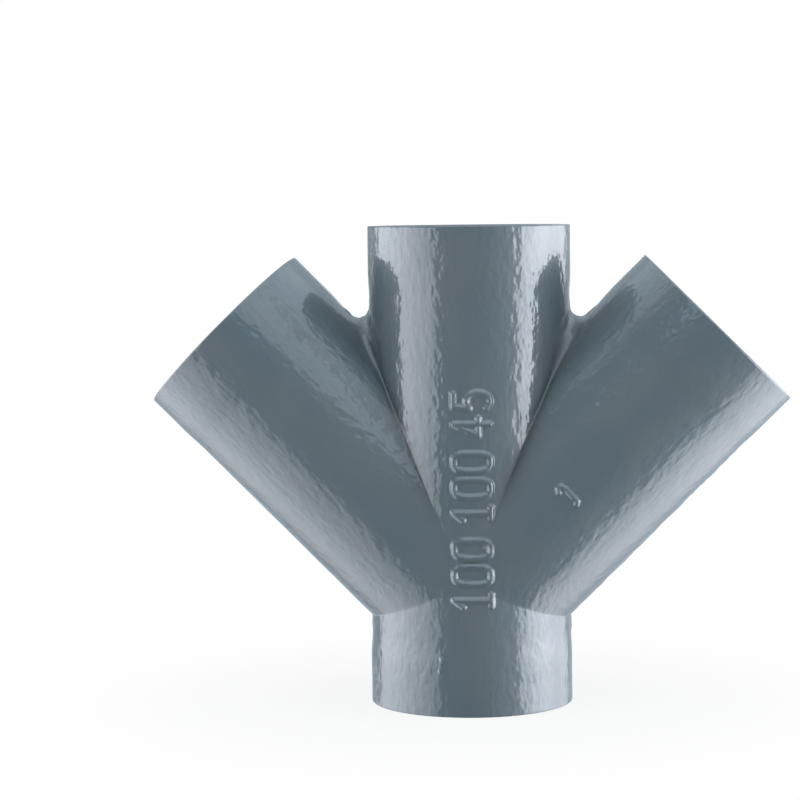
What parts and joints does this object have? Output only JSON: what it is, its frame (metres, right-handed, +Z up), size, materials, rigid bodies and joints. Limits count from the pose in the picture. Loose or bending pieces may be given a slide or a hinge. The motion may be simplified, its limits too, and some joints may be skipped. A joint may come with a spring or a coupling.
{
  "type": "double branch pipe fitting",
  "caption": "Hubless drain pipe fitting: a straight spigot-ended run with an equal branch rising from each side at 45 degrees, cast in one piece.",
  "frame": {"origin": "centre of the run's lower end face, which is the lowest point", "axes": "+Z up the run, towards the end between the branches; the branches lean out in the XZ plane; -Y is the side with the cast figures"},
  "size_m": [0.3454, 0.11, 0.26],
  "materials": {
    "epoxy_coat": "glossy grey epoxy coat on cast iron"
  },
  "bodies": {
    "root": {"double_branch_fitting": "epoxy_coat"}
  },
  "joints": []
}
